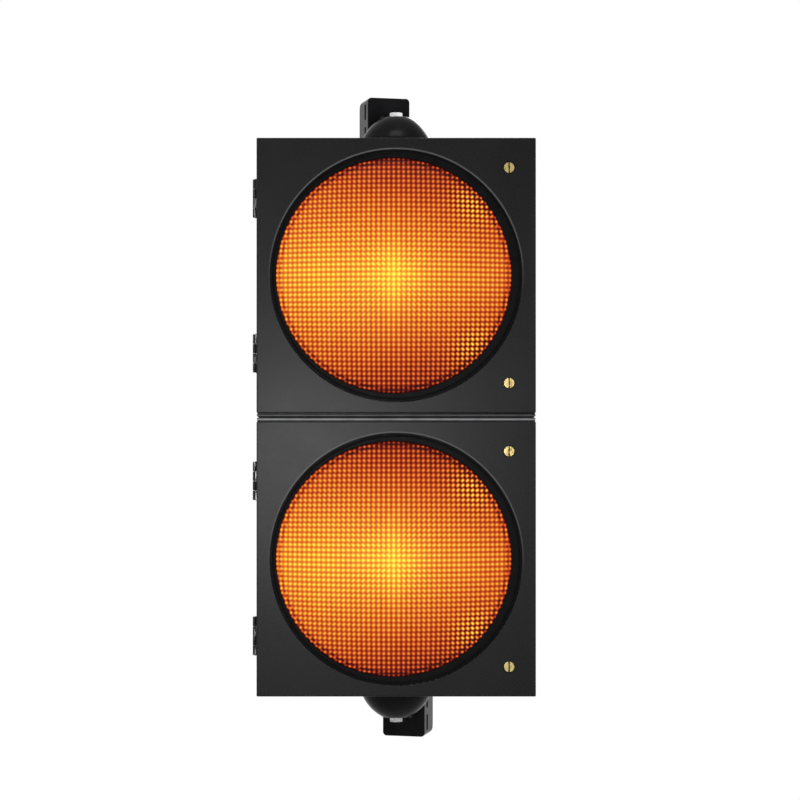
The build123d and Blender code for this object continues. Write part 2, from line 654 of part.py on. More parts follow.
def lead_gland():
    """The small gland where the lamp unit's lead leaves the driver cover."""
    back = CAN_BACK + COVER_DEPTH
    inside = back - COVER_WALL - LEAD_GLAND_THREAD
    collar = back + LEAD_GLAND_COLLAR
    end = collar + LEAD_GLAND_NOSE
    body = disc_y(LEAD_GLAND_R - SMALL_CLEARANCE, inside, back, LENS_X, DOOR_Z)
    collar_step, nose_step = LEAD_GLAND_STEPS
    body += disc_y(LEAD_GLAND_R + collar_step, back, collar, LENS_X, DOOR_Z)
    body += disc_y(LEAD_GLAND_R + nose_step, collar, end, LENS_X, DOOR_Z)
    body = fillet(body.faces().sort_by(Axis.Y)[-1].edges(), LEAD_GLAND_ROUND)
    return body - disc_y(LEAD_R, inside - 1, end + 1, LENS_X, DOOR_Z)


def driver_board():
    """The driver board with its transformer, capacitors and heat-sunk regulator."""
    y0 = CAN_BACK + DRIVER_STANDOFF
    y1 = y0 + DRIVER_BOARD
    half_x = DRIVER_BOARD_X / 2
    half_z = DRIVER_BOARD_Z / 2
    board = block((-half_x, half_x), (y0, y1), (-half_z, half_z))
    transformer = block(TRANSFORMER_X, (y1, y1 + TRANSFORMER_HEIGHT), TRANSFORMER_Z)
    capacitors = [disc_y(CAPACITOR_R, y1, y1 + CAPACITOR_HEIGHT, CAPACITOR_X, z)
                  for z in (-CAPACITOR_PITCH, 0, CAPACITOR_PITCH)]
    regulator = block(REGULATOR_X, (y1, y1 + REGULATOR_HEIGHT), REGULATOR_Z)
    return [Pos(LENS_X, 0, DOOR_Z) * piece
            for piece in (board, transformer, *capacitors, regulator)]


def lamp_clips():
    clips = []
    for angle in clip_angles():
        middle = CLIP_BOSS_AT + CLIP_BOSS_R + CLIP_OVERHANG - CLIP_LENGTH / 2
        x, z = about_opening(angle, middle)
        plate = Box(CLIP_LENGTH, CLIP_THICK, CLIP_WIDTH)
        clip = Pos(x, FLANGE_BACK + CLIP_THICK / 2, z) * Rot(0, -angle, 0) * plate
        hole_x, hole_z = about_opening(angle, CLIP_BOSS_AT)
        hole_r = CLIP_SCREW_R + CLIP_HOLE_CLEARANCE
        span = (FLANGE_BACK - 1, FLANGE_BACK + CLIP_THICK + 1)
        clips.append(clip - disc_y(hole_r, *span, hole_x, hole_z))
    return clips


def clip_screws():
    seat = FLANGE_BACK + CLIP_THICK
    return [pan_head_screw(*about_opening(angle, CLIP_BOSS_AT), seat, -CLIP_SCREW, CLIP_SCREW_R)
            for angle in clip_angles()]


# ---- hinges ---------------------------------------------------------------------------------
def knuckle_spans(z):
    """The heights of one hinge's knuckles, from the bottom up."""
    height = (HINGE_LENGTH - (KNUCKLES - 1) * KNUCKLE_GAP) / KNUCKLES
    starts = [z - HINGE_LENGTH / 2 + i * (height + KNUCKLE_GAP) for i in range(KNUCKLES)]
    return [(start, start + height) for start in starts]


def hinge_leaf(z, side, first, width):
    """One leaf; side is +1 for the case's and -1 for the door's, first picks its knuckles."""
    face = -WIDTH / 2
    near = HINGE_Y + side * (PIN_R + PIN_CLEARANCE + SMALL_CLEARANCE)
    far = HINGE_Y + side * width
    neck = HINGE_Y + side * BARREL_R
    z_span = (z - HINGE_LENGTH / 2, z + HINGE_LENGTH / 2)
    leaf = block((face, face + LEAF), sorted((near, far)), z_span)
    for span in knuckle_spans(z)[first::2]:
        leaf += block((HINGE_X, face + LEAF), sorted((near, neck)), span)
        leaf += disc_z(BARREL_R, *span, HINGE_X, HINGE_Y)
    leaf -= disc_z(PIN_R + PIN_CLEARANCE, z_span[0] - 1, z_span[1] + 1, HINGE_X, HINGE_Y)
    return leaf


def countersunk(y, z, depth):
    """A countersunk screw in a leaf, driven along +X."""
    face = -WIDTH / 2
    shank = disc_x(LEAF_SCREW_R - SMALL_CLEARANCE, face, face + depth, y, z)
    head = Pos(face + LEAF / 2, y, z) * Rot(0, 90, 0) * Cone(LEAF_SCREW_R + LEAF, LEAF_SCREW_R, LEAF)
    width, deep = LEAF_SLOT
    reach = LEAF_SCREW_R + LEAF + 1
    slot = block((face - 1, face + deep), (y - width / 2, y + width / 2), (z - reach, z + reach))
    return shank + head - slot


def leaf_with_holes(leaf, y, z):
    face = -WIDTH / 2
    for screw_z in leaf_screw_places(z):
        sink = Pos(face + LEAF / 2, y, screw_z) * Rot(0, 90, 0)
        leaf -= sink * Cone(LEAF_SCREW_R + LEAF, LEAF_SCREW_R, LEAF)
    return leaf


def case_leaves():
    return [leaf_with_holes(hinge_leaf(z, 1, 0, CASE_LEAF_WIDTH - DOOR_GAP), case_screw_y(), z)
            for z in HINGE_ZS]


def door_leaves():
    width = DOOR_BACK - PLATE_BACK
    return [leaf_with_holes(hinge_leaf(z, -1, 1, width), door_screw_y(), z) for z in HINGE_ZS]


def case_leaf_screws():
    depth = WALL + HINGE_PAD
    return [countersunk(case_screw_y(), screw_z, depth)
            for z in HINGE_ZS for screw_z in leaf_screw_places(z)]


def door_leaf_screws():
    return [countersunk(door_screw_y(), screw_z, WALL)
            for z in HINGE_ZS for screw_z in leaf_screw_places(z)]


def hinge_pins():
    """Pins with a small head below and above each barrel."""
    pins = []
    for z in HINGE_ZS:
        low = z - HINGE_LENGTH / 2
        high = z + HINGE_LENGTH / 2
        reach = PIN_HEAD_GAP + PIN_HEAD
        pin = disc_z(PIN_R, low - reach / 2, high + reach / 2, HINGE_X, HINGE_Y)
        for end in (low - reach, high + PIN_HEAD_GAP):
            pin += disc_z(PIN_HEAD_R, end, end + PIN_HEAD, HINGE_X, HINGE_Y)
        pins.append(pin)
    return pins


# ---- latches --------------------------------------------------------------------------------
def latch(z):
    """A slotted stud with its cross bar, and the clip that keeps it in the door."""
    head_back = RECESS_FLOOR - SMALL_CLEARANCE
    head_front = head_back - LATCH_HEAD
    bar_x, bar_y, bar_z = LATCH_BAR
    stud = disc_y(LATCH_HEAD_R, head_front, head_back, LATCH_X, z)
    stud = fillet(stud.faces().sort_by(Axis.Y)[0].edges(), LATCH_HEAD_ROUND)
    stud += disc_y(LATCH_SHANK_R, head_back - 0.5, BAR_FRONT + bar_y, LATCH_X, z)
    stud += block((LATCH_X - bar_x / 2, LATCH_X + bar_x / 2), (BAR_FRONT, BAR_FRONT + bar_y),
                  (z - bar_z / 2, z + bar_z / 2))
    half_slot = LATCH_SLOT_WIDTH / 2
    stud -= block((LATCH_X - half_slot, LATCH_X + half_slot),
                  (head_front - 1, head_front + LATCH_SLOT_DEPTH),
                  (z - LATCH_HEAD_R - 1, z + LATCH_HEAD_R + 1))
    front = CUP_BACK + LATCH_CLIP_GAP
    back = front + LATCH_CLIP
    core_r = LATCH_SHANK_R - LATCH_GROOVE
    stud -= ring_y(LATCH_SHANK_R + 1, core_r, front - LATCH_CLIP_PLAY, back + LATCH_CLIP_PLAY,
                   LATCH_X, z)
    clip_r = LATCH_SHANK_R + LATCH_CLIP_WIDTH
    clip = ring_y(clip_r, core_r + LATCH_CLIP_PLAY, front, back, LATCH_X, z)
    half_mouth = LATCH_CLIP_MOUTH / 2
    clip -= block((LATCH_X, LATCH_X + clip_r + 1), (front - 1, back + 1),
                  (z - half_mouth, z + half_mouth))
    return [stud, clip]


# ---- brackets and hubs ----------------------------------------------------------------------
def swung(shape):
    """The upper bracket's rest place: its saddle swung to the viewer's left."""
    return Rot(0, 0, BRACKET_SWING) * shape


def hub():
    skirt = (HUB_R, HUB_BASE + HUB_SKIRT)
    crown = (HUB_TOP_R, HUB_TOP)
    side = ThreePointArc(skirt, (HUB_SHOULDER_R, HUB_BASE + HUB_SHOULDER), crown)
    rest = Polyline(crown, (0, HUB_TOP), (0, HUB_BASE), (HUB_R, HUB_BASE), skirt)
    outline = Plane.XZ * make_face([side, rest])
    dome = revolve(outline, Axis.Z)
    hollow_top = HUB_BASE + HUB_HOLLOW
    hollow = Pos(0, 0, (HUB_BASE + hollow_top) / 2) * Cone(
        HUB_R - HUB_WALL, HUB_SHOULDER_R - HUB_WALL, HUB_HOLLOW)
    return dome - (hollow - disc_z(HUB_BOSS_R, HUB_BASE, hollow_top))


def saddle():
    """The channel that seats on the pole: a web, two flanges and three ribs."""
    half = SADDLE_WIDTH / 2
    back = WEB_SETBACK + SADDLE_DEPTH
    low = HUB_BASE
    high = HUB_BASE + SADDLE_HEIGHT
    middle_y = (WEB_SETBACK + back) / 2
    middle_z = (low + high) / 2
    side = Pos(middle_y, middle_z) * Rectangle(SADDLE_DEPTH, SADDLE_HEIGHT)
    side = fillet(side.vertices().sort_by(Axis.X)[-2:].sort_by(Axis.Y)[-1:], SADDLE_BACK_ROUND)
    face = Pos(0, middle_z) * Rectangle(SADDLE_WIDTH, SADDLE_HEIGHT)
    face = fillet(face.vertices().sort_by(Axis.Y)[-2:], SADDLE_CORNER)
    body = extrude(Plane.YZ * side, half, both=True)
    body &= extrude(Plane.XZ * face, -back - 1)
    body = fillet(body.faces().sort_by(Axis.Y)[0].edges(), SADDLE_EDGE_ROUND)
    rib_gap = (SADDLE_HEIGHT - 3 * SADDLE_RIB) / 2
    for i in range(2):
        z0 = low + SADDLE_RIB + i * (rib_gap + SADDLE_RIB)
        body -= block((-half + SADDLE_WALL, half - SADDLE_WALL),
                      (WEB_SETBACK + SADDLE_WALL, back + 1), (z0, z0 + rib_gap))
        slot_depth, slot_height = BAND_SLOT
        slot_y = WEB_SETBACK + BAND_SLOT_SETBACK
        slot_z = z0 + rib_gap / 2
        body -= block((-half - 1, half + 1), (slot_y - slot_depth / 2, slot_y + slot_depth / 2),
                      (slot_z - slot_height / 2, slot_z + slot_height / 2))
    return body - disc_z(POLE_R, low - 1, high + 1, 0, POLE_Y)


def arm():
    """The round-backed rib that joins hub and saddle, spot-faced round the bolt."""
    top = HUB_TOP + ARM_ABOVE_HUB
    z0 = HUB_BASE + HUB_SHOULDER
    length = (0, WEB_SETBACK + 1)
    rib = block((-ARM_R, ARM_R), length, (z0, top - ARM_R / 2))
    crown = disc_y(ARM_R, *length, 0, top - ARM_R)
    rib = rib + crown
    rib = rib & block((-ARM_R, ARM_R), length, (z0, top))
    return rib - disc_z(SPOT_FACE_R, HUB_TOP, top + 1)


def upper_bracket():
    body = hub() + saddle() + arm()
    body -= disc_z(BOLT_R + BOLT_CLEARANCE, HUB_BASE - 1, HUB_TOP + 1)
    return swung(body)


def hub_bolt():
    head_base = HUB_TOP + WASHER
    end = INNER_WASHER - HUB_NUT - BOLT_PAST_NUT
    head = hexagon(BOLT_HEAD_AF, head_base, head_base + BOLT_HEAD)
    top_r = BOLT_HEAD_AF / 2 - BOLT_HEAD_CHAMFER
    slope = BOLT_HEAD * sqrt(3)
    cap = Pos(0, 0, head_base + BOLT_HEAD / 2) * Cone(top_r + slope, top_r, BOLT_HEAD)
    bolt = (head & cap) + disc_z(BOLT_R, end, head_base)
    return Rot(0, 0, BOLT_HEAD_TURN) * bolt


def hub_washers():
    bore = BOLT_R + BOLT_CLEARANCE
    return [ring_z(WASHER_R, bore, base, base + WASHER) for base in (HUB_TOP, INNER_WASHER)]


def hub_nut():
    low = INNER_WASHER - HUB_NUT
    bore = disc_z(BOLT_R + SMALL_CLEARANCE, low - 1, INNER_WASHER + 1)
    return hexagon(BOLT_HEAD_AF, low, INNER_WASHER) - bore


def hub_spreader():
    bore = BOLT_R + BOLT_CLEARANCE
    return ring_z(END_HOLE_R + SPREADER_OVERLAP, bore, END_INNER - SPREADER, END_INNER)


def hub_gasket():
    bore = END_HOLE_R + GASKET_SETBACK
    return ring_z(HUB_R - HUB_GASKET_INSET, bore, SECTION_HEIGHT, HUB_BASE)


# ---- coupling between the sections ----------------------------------------------------------
def section_nipple():
    end = JOINT_INNER + RING_NUT + NIPPLE_PAST_NUT
    return ring_z(NIPPLE_R, NIPPLE_R - NIPPLE_WALL, -end, end)


def ring_nut():
    """A round nut with spanner notches."""
    z_span = (JOINT_INNER, JOINT_INNER + RING_NUT)
    outer = NIPPLE_R + RING_NUT_WALL
    nut = ring_z(outer, NIPPLE_R + SMALL_CLEARANCE, *z_span)
    depth, width = RING_NUT_NOTCH
    notch = block((outer - depth, outer + 1), (-width / 2, width / 2), (z_span[0] - 1, z_span[1] + 1))
    for i in range(RING_NUT_NOTCHES):
        nut -= Rot(0, 0, 360 / RING_NUT_NOTCHES * i) * notch
    return nut


def section_gasket():
    """A rubber sheet over the whole joint, with a hole for the nipple."""
    half = WIDTH / 2 - JOINT_SHEET_INSET
    y_span = (CASE_FRONT - JOINT_LIP + JOINT_SHEET_INSET, CASE_BACK - CASE_BACK_ROUND)
    z_span = (-JOINT_GAP / 2, JOINT_GAP / 2)
    sheet = block((-half, half), y_span, z_span)
    return sheet - disc_z(END_HOLE_R + GASKET_SETBACK, -JOINT_GAP, JOINT_GAP)


# ---- supply terminals and cable gland -------------------------------------------------------
def terminal_screw_xs():
    reach = (TERMINAL_SIZE[0] - TERMINAL_LUG) / 2
    return [-reach, reach]


def terminal_way_xs():
    pitch = (TERMINAL_SIZE[0] - 2 * TERMINAL_LUG) / TERMINAL_WAYS
    return [(i - (TERMINAL_WAYS - 1) / 2) * pitch for i in range(TERMINAL_WAYS)]


def terminal_block():
    size_x, size_y, size_z = TERMINAL_SIZE
    back = CASE_BACK - WALL - TERMINAL_BOSS
    front = back - size_y
    foot = back - TERMINAL_FOOT
    body = block((-size_x / 2, size_x / 2), (foot, back),
                 (TERMINAL_Z - size_z / 2, TERMINAL_Z + size_z / 2))
    half = size_x / 2 - TERMINAL_LUG
    body += block((-half, half), (front, foot), (TERMINAL_Z - size_z / 2, TERMINAL_Z + size_z / 2))
    for x in terminal_way_xs():
        body -= disc_y(TERMINAL_CLAMP_R, front - 1, front + TERMINAL_CLAMP_DEPTH, x, TERMINAL_Z)
        body -= disc_z(TERMINAL_ENTRY_R, TERMINAL_Z - size_z, TERMINAL_Z + size_z,
                       x, front + TERMINAL_ENTRY_DEPTH)
    for x in terminal_screw_xs():
        body -= disc_y(TERMINAL_SCREW_R + TERMINAL_HOLE_CLEARANCE, foot - 1, back + 1,
                       x, TERMINAL_Z)
    return body


def terminal_screws():
    back = CASE_BACK - WALL - TERMINAL_BOSS
    front = back - TERMINAL_SIZE[1]
    fixing_length = TERMINAL_FOOT + TERMINAL_BOSS + BLIND_DEPTH / 2
    clamp_r = TERMINAL_CLAMP_R - 2 * SMALL_CLEARANCE
    low = front + TERMINAL_CLAMP_DEPTH
    high = low - TERMINAL_CLAMP
    width, deep = TERMINAL_CLAMP_SLOT
    across = (TERMINAL_Z - clamp_r - 1, TERMINAL_Z + clamp_r + 1)
    clamps = [disc_y(clamp_r, high, low, x, TERMINAL_Z)
              - block((x - width / 2, x + width / 2), (high - 1, high + deep), across)
              for x in terminal_way_xs()]
    fixings = [pan_head_screw(x, TERMINAL_Z, back - TERMINAL_FOOT, fixing_length, TERMINAL_SCREW_R)
               for x in terminal_screw_xs()]
    return clamps + fixings


def earth_stud():
    seat = CASE_BACK - WALL - EARTH_BOSS
    return pan_head_screw(EARTH_X, TERMINAL_Z, seat, EARTH_BOSS + BLIND_DEPTH / 2, EARTH_SCREW_R)


def gland_disc(radius, y0, y1):
    return disc_y(radius, y0, y1, GLAND_X, GLAND_Z)


def gland_hexagon(y0, y1):
    prism = Rot(-90, 0, 0) * hexagon(GLAND_HEX_AF, y0, y1)
    return Pos(GLAND_X, 0, GLAND_Z) * prism


def gland_body():
    """Thread through the back wall, hexagon flange and a spigot for the nut and the seal."""
    inside = CASE_BACK - GLAND_THREAD
    flange = CASE_BACK + GLAND_FLANGE
    end = flange + GLAND_SPIGOT
    body = gland_disc(GLAND_THREAD_R, inside, CASE_BACK) + gland_hexagon(CASE_BACK, flange)
    body += gland_disc(GLAND_SPIGOT_R, flange, end)
    return body - gland_disc(GLAND_BORE_R, inside - 1, end + 1)


def gland_seal():
    end = CASE_BACK + GLAND_FLANGE + GLAND_SPIGOT + CABLE_SEAL_PROUD
    seal = gland_disc(GLAND_BORE_R - SMALL_CLEARANCE, end - CABLE_SEAL, end)
    return seal - gland_disc(CABLE_R, end - CABLE_SEAL - 1, end + 1)


def gland_nut():
    front = CASE_BACK + GLAND_FLANGE + GLAND_NUT_GAP
    collar = front + GLAND_NUT_HEX
    end = collar + GLAND_NUT_COLLAR
    nut = gland_hexagon(front, collar) + gland_disc(GLAND_NUT_R, collar, end)
    nut = fillet(nut.faces().sort_by(Axis.Y)[-1].edges(), GLAND_NUT_ROUND)
    spigot_end = CASE_BACK + GLAND_FLANGE + GLAND_SPIGOT
    seat = spigot_end + CABLE_SEAL_PROUD + 2 * SMALL_CLEARANCE
    nut -= gland_disc(GLAND_SPIGOT_R + SMALL_CLEARANCE, front - 1, seat)
    return nut - gland_disc(CABLE_R + GLAND_NUT_MOUTH, front - 1, end + 1)


def gland_locknut():
    inner = CASE_BACK - WALL
    thread = gland_disc(GLAND_THREAD_R + SMALL_CLEARANCE, inner - GLAND_LOCKNUT - 1, inner + 1)
    return gland_hexagon(inner - GLAND_LOCKNUT, inner) - thread


# ---- write every sub-part -------------------------------------------------------------------
def main():
    os.makedirs("parts", exist_ok=True)
    case = upper_case()
    save("upper_case", case)
    save("lower_case", lower_case())
    save("section_nipple", section_nipple())
    save("section_ring_nuts", both_ends([ring_nut()]))
    save("section_gasket", section_gasket())

    per_door = {
        "door": [door()],
        "door_seal": [door_seal()],
        "door_hinge_leaves": door_leaves(),
        "door_leaf_screws": door_leaf_screws(),
        "lens": [lens()],
        "lens_gasket": [lens_gasket()],
        "inner_lens": [inner_lens()],
        "lamp_can": [lamp_can()],
        "lamp_screws": lamp_screws(),
        "led_board": [led_board()],
        "leds": leds(),
        "driver_board": driver_board(),
        "driver_cover": [driver_cover()],
        "lead_gland": [lead_gland()],
        "lamp_clips": lamp_clips(),
        "clip_screws": clip_screws(),
    }
    for name, shapes in per_door.items():
        save(f"upper_{name}", shapes)
        save(f"lower_{name}", mirrored(shapes))

    for place, z in zip(("inner", "outer"), LATCH_ZS):
        save(f"upper_latch_{place}", latch(z))
        save(f"lower_latch_{place}", mirrored(latch(z)))

    save("case_hinge_leaves", both_ends(case_leaves()))
    save("case_leaf_screws", both_ends(case_leaf_screws()))
    save("hinge_pins", both_ends(hinge_pins()))

    bracket = upper_bracket()
    save("upper_bracket", bracket)
    save("lower_bracket", Rot(0, 180, 0) * bracket)
    bolt = hub_bolt()
    save("upper_hub_bolt", bolt)
    save("lower_hub_bolt", Rot(0, 180, 0) * bolt)
    save("hub_washers", both_ends(hub_washers()))
    save("hub_nuts", both_ends([hub_nut()]))
    save("hub_spreaders", both_ends([hub_spreader()]))
    save("hub_gaskets", both_ends([hub_gasket()]))

    save("terminal_block", terminal_block())
    save("terminal_screws", terminal_screws())
    save("earth_screw", earth_stud())
    save("cable_gland_body", gland_body())
    save("cable_gland_seal", gland_seal())
    save("cable_gland_nut", gland_nut())
    save("cable_gland_locknut", gland_locknut())


main()
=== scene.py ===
import json
from math import pi, sqrt

import bmesh
import bpy
from mathutils import Matrix, Vector


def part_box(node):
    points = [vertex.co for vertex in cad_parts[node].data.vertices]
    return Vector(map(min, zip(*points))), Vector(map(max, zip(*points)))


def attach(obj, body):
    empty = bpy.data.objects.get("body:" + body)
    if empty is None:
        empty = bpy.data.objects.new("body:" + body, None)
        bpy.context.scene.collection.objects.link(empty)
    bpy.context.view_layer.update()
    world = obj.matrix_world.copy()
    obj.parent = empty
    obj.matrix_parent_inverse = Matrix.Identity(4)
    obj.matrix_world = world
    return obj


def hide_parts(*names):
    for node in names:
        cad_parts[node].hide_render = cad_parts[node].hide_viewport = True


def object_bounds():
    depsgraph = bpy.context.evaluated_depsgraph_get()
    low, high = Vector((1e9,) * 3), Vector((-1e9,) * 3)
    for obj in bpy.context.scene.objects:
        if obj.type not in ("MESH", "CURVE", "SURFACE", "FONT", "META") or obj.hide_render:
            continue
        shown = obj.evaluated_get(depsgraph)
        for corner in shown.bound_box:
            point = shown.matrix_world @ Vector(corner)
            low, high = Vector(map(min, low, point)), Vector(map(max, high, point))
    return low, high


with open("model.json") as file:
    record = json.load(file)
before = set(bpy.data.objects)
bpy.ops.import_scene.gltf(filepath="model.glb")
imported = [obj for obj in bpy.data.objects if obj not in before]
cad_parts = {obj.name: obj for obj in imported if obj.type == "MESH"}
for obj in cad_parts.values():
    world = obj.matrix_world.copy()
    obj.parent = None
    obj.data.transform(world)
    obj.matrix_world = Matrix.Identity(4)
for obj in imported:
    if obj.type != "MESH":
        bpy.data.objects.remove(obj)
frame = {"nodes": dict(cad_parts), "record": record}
cad_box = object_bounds()

# The finish of a two-section amber signal head: powder-coated cases, lit prismatic lenses, brass
# latches and glossy pole brackets. Metres, in the same place as the frame's nodes.

# ---- sizes that the frame doesn't give ------------------------------------------------------
LENS_RIM = 0.0055           # rim of the lens behind the gasket's lip
LENS_FLANGE = 0.003         # thickness of that rim
LENS_WALL = 0.003
PRISM = 0.0063              # pitch of the lens's prisms along its dome
PRISM_DEPTH = 0.0009
PRISMS_ACROSS = 49
PRISM_STEPS = 4             # faces along each side of one prism
PRISM_SQUEEZE = 1.2         # how the rows close up towards the rim, per square metre
DOT_MEAN = 0.39             # mean of the dot pattern over one prism
RIM_TUCK = 0.0012           # how far the prisms run on under the gasket's lip
FLAT_RIM = 0.1515           # radius of the visible rim before the rows close up
INNER_DOME_RINGS = 9
LIP_BACK = -0.0585          # the painted highlights show only in front of this plane
FRONT_FADE = 0.002
LIP_PAINTED_HIGHLIGHTS = ((-0.0030, 0.34), (0.0024, 0.085))      # height and paleness of the painted highlight lines on the lips
LIP_HIGHLIGHT_WIDTH = 0.0016
OPENING_EDGE_R = 0.1588     # the rounded edge of a door's opening
OPENING_EDGE_WIDTH = 0.0009
LATCH_SLOT_TOP = 0.0005     # the painted shade on a latch's sides starts this far behind its face
LATCH_HEAD = 0.003
LATCH_FADE = 0.0006

CAMERA_BACK = 2.6           # door face to camera
VIEW_WIDTH = 1.0018         # width of the view at the door face
VIEW_SHIFT = (0.00475, 0.0215)
SENSOR = 0.036
FLOOR_DROP = 0.33           # floor below the lower bracket
FLOOR_R = 1.25
FLOOR_GLOW = 0.42           # brings the floor up to the white of the room
AMBIENT = 0.35              # the room's light on matt surfaces


# ---- node helpers ---------------------------------------------------------------------------
class Finish:
    """A material with short calls for its nodes."""

    def __init__(self, name, colour, roughness, metallic=0.0):
        self.material = bpy.data.materials.new(name)
        self.material.use_nodes = True
        self.nodes = self.material.node_tree.nodes
        self.links = self.material.node_tree.links
        self.shader = next(n for n in self.nodes if n.type == "BSDF_PRINCIPLED")
        self.shader.inputs["Base Color"].default_value = (*colour, 1.0)
        self.shader.inputs["Roughness"].default_value = roughness
        self.shader.inputs["Metallic"].default_value = metallic
        self.place = self.node("ShaderNodeTexCoord").outputs["Object"]

    def node(self, kind, **settings):
        made = self.nodes.new(kind)
        for key, value in settings.items():
            setattr(made, key, value)
        return made

    def feed(self, socket, value):
        if isinstance(value, bpy.types.NodeSocket):
            self.links.new(value, socket)
        else:
            socket.default_value = value

    def math(self, operation, a, b=0.0, clamp=False):
        made = self.node("ShaderNodeMath", operation=operation, use_clamp=clamp)
        self.feed(made.inputs[0], a)
        self.feed(made.inputs[1], b)
        return made.outputs[0]

    def axes(self, vector=None):
        """X, Y and Z of a vector, or of the place on the object."""
        made = self.node("ShaderNodeSeparateXYZ")
        self.links.new(vector or self.place, made.inputs[0])
        return made.outputs

    def bell(self, value, sharpness):
        """exp(-sharpness * value squared)."""
        square = self.math("POWER", value, 2.0)
        return self.math("EXPONENT", self.math("MULTIPLY", square, -sharpness))

    def line(self, value, middle, width):
        """A soft line where the value is near its middle, 0 to 1."""
        off = self.math("DIVIDE", self.math("SUBTRACT", value, middle), width)
        return self.bell(off, 1.0)

    def noise(self, scale, detail=3.0, roughness=0.55, stretch=(1.0, 1.0, 1.0)):
        mapping = self.node("ShaderNodeMapping")
        mapping.inputs["Scale"].default_value = stretch
        self.links.new(self.place, mapping.inputs["Vector"])
        made = self.node("ShaderNodeTexNoise")
        made.inputs["Scale"].default_value = scale
        made.inputs["Detail"].default_value = detail
        made.inputs["Roughness"].default_value = roughness
        self.links.new(mapping.outputs[0], made.inputs["Vector"])
        return made.outputs[0]

    def spread(self, value, low, high, out_low, out_high):
        """A value stretched from one range onto another, kept within it."""
        made = self.node("ShaderNodeMapRange", clamp=True)
        for name, number in (("From Min", low), ("From Max", high), ("To Min", out_low),
                             ("To Max", out_high)):
            made.inputs[name].default_value = number
        self.feed(made.inputs["Value"], value)
        return made.outputs[0]

    def ramp(self, value, stops):
        made = self.node("ShaderNodeValToRGB")
        band = made.color_ramp
        while len(band.elements) < len(stops):
            band.elements.new(0.5)
        for element, (at, colour) in zip(band.elements, stops):
            element.position = at
            element.color = (*colour, 1.0)
        self.feed(made.inputs[0], value)
        return made.outputs[0]

    def blend(self, amount, first, second):
        made = self.node("ShaderNodeMix", data_type="RGBA")
        self.feed(made.inputs[0], amount)
        for socket, colour in ((made.inputs[6], first), (made.inputs[7], second)):
            self.feed(socket, colour if isinstance(colour, bpy.types.NodeSocket) else (*colour, 1.0))
        return made.outputs[2]

    def bump(self, height, distance, strength=1.0):
        made = self.node("ShaderNodeBump")
        made.inputs["Distance"].default_value = distance
        made.inputs["Strength"].default_value = strength
        self.links.new(height, made.inputs["Height"])
        self.links.new(made.outputs[0], self.shader.inputs["Normal"])

    def into(self, **sockets):
        for name, value in sockets.items():
            self.feed(self.shader.inputs[name.replace("_", " ")], value)


def linear(red, green, blue):
    """A colour as it is seen on a screen, 0 to 255, in linear light."""
    parts = (red / 255, green / 255, blue / 255)
    return tuple(c / 12.92 if c <= 0.04045 else ((c + 0.055) / 1.055) ** 2.4 for c in parts)


def darker(colour, share):
    return tuple(c * share for c in colour)


# ---- finishes -------------------------------------------------------------------------------
def case_paint():
    """Fine-grained satin powder coat, with painted highlights along the lips beside the joint and along
    the upper half of each door's opening.
    """
    finish = Finish("powder_coat_black", (0.005, 0.005, 0.0052), 0.33)
    grain = finish.noise(620.0, 2.0, 0.7)
    cloud = finish.noise(9.0, 4.0)
    speckle = finish.spread(grain, 0.35, 0.65, 0.0, 1.0)
    tone = finish.blend(speckle, (0.0035, 0.0035, 0.0037), (0.0075, 0.0075, 0.0078))
    tone = finish.blend(finish.spread(cloud, 0.35, 0.7, 0.0, 0.5), tone, (0.010, 0.010, 0.0103))
    # painted highlights: a pale line on each rounded lip beside the joint, brighter on the lower lip
    for height, pale in LIP_PAINTED_HIGHLIGHTS:
        tone = finish.blend(lip_painted_highlight(finish, height), tone, (pale, pale, pale * 1.03))
    # painted highlight along the rounded edge of the upper half of each door's opening
    tone = finish.blend(opening_painted_highlight(finish), tone, (0.10, 0.10, 0.102))
    finish.into(Base_Color=tone)
    rough = finish.spread(cloud, 0.3, 0.7, 0.25, 0.28)
    finish.into(Roughness=finish.math("ADD", rough, finish.math("MULTIPLY", speckle, 0.05)))
    finish.bump(grain, 0.00008, 0.5)
    finish.into(Specular_IOR_Level=0.09)
    return finish.material


def lip_painted_highlight(finish, height):
    """Where the lip at this height gets a painted highlight, 0 to 1, patchy along its length."""
    _, y, z = finish.axes()
    line = finish.line(z, height, LIP_HIGHLIGHT_WIDTH)
    front = finish.spread(y, LIP_BACK, LIP_BACK - FRONT_FADE, 0.0, 1.0)
    patchy = finish.spread(finish.noise(30.0, 4.0), 0.3, 0.55, 0.55, 1.0)
    return finish.math("MULTIPLY", finish.math("MULTIPLY", line, front), patchy)


def opening_painted_highlight(finish):
    """Where the upper half of each door's round opening gets a painted highlight along its edge, 0 to
    1.
    """
    low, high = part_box("upper_door")
    x, y, z = finish.axes()
    off = finish.math("SUBTRACT", finish.math("ABSOLUTE", z), (low.z + high.z) / 2)
    radius = finish.math("SQRT", finish.math("ADD", finish.math("POWER", x, 2.0),
                                             finish.math("POWER", off, 2.0)))
    line = finish.line(radius, OPENING_EDGE_R, OPENING_EDGE_WIDTH)
    up = finish.math("MULTIPLY", off, finish.math("SIGN", z))
    top = finish.spread(up, -0.03, 0.09, 0.0, 1.0)
    front = finish.spread(y, LIP_BACK, LIP_BACK - FRONT_FADE, 0.0, 1.0)
    return finish.math("MULTIPLY", finish.math("MULTIPLY", line, front), top)


def bracket_paint():
    """Glossy stove enamel on cast aluminium, with a slight orange peel."""
    finish = Finish("gloss_enamel_black", (0.005, 0.005, 0.0055), 0.16)
    peel = finish.noise(130.0, 2.0)
    dust = finish.noise(14.0, 5.0)
    finish.into(Base_Color=finish.blend(finish.spread(dust, 0.45, 0.75, 0.0, 0.5),
                                        (0.0035, 0.0035, 0.0042), (0.016, 0.016, 0.017)))
    finish.into(Roughness=finish.spread(dust, 0.35, 0.75, 0.14, 0.30))
    finish.bump(peel, 0.0002, 0.3)
    finish.into(Specular_IOR_Level=0.035)
    return finish.material


